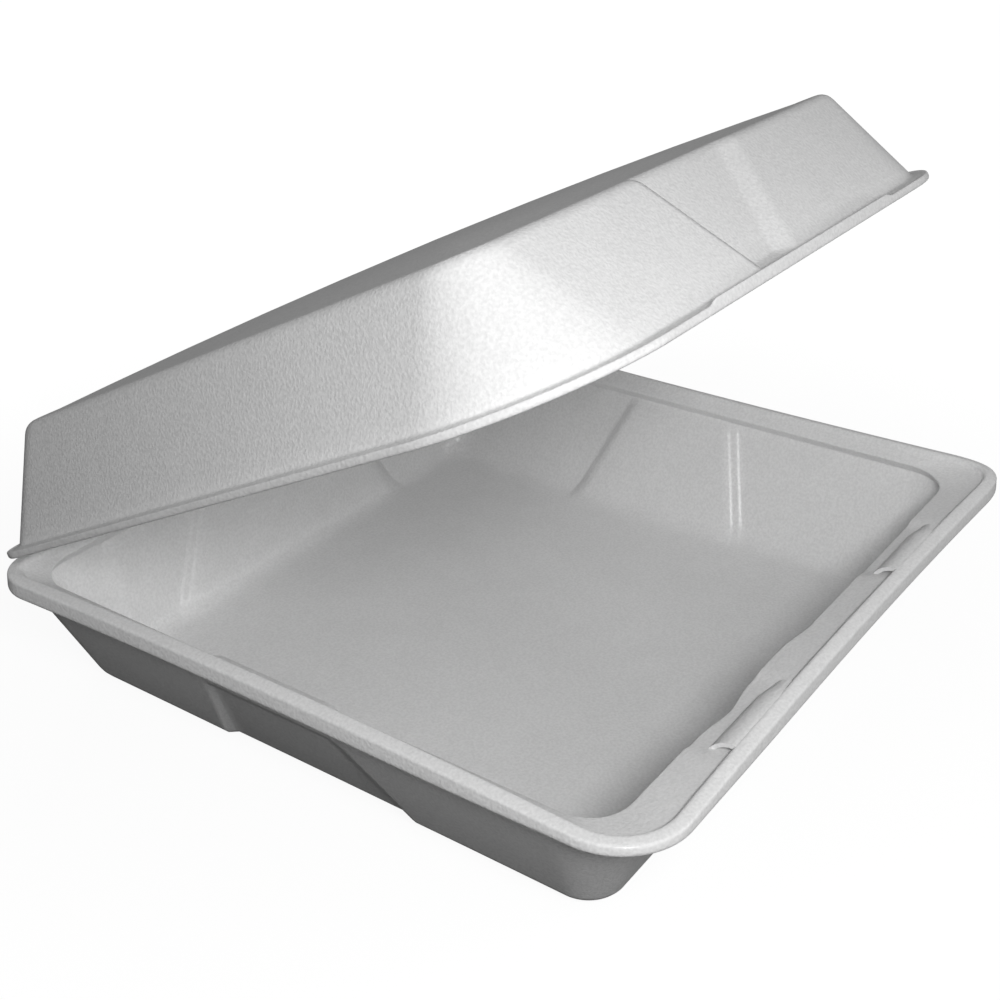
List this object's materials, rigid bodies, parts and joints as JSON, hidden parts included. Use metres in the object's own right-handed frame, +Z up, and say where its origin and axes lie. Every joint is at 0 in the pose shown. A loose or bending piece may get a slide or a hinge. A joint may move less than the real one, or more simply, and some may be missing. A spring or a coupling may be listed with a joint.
{
  "type": "foam clamshell container",
  "caption": "Square foam take-out container: a drafted tray with a rolled rim and a hinged shallow lid, stood half open.",
  "frame": {"origin": "centre of the flat underside of the tray", "axes": "+Z up, -Y towards the front with the lock loops, +Y towards the fold, +X to the right seen from the front"},
  "size_m": [0.2416, 0.2315, 0.1707],
  "materials": {
    "foam": "satin foam skin with a fine cell grain"
  },
  "bodies": {
    "tray": {"base": "foam"},
    "cover": {"lid": "foam"}
  },
  "joints": [
    {"name": "fold", "type": "hinge", "parent": "tray", "child": "cover", "pos_m": [0, 0.1055, 0.04735], "axis": [-1, 0, 0], "range_deg": [-27, 153]}
  ]
}
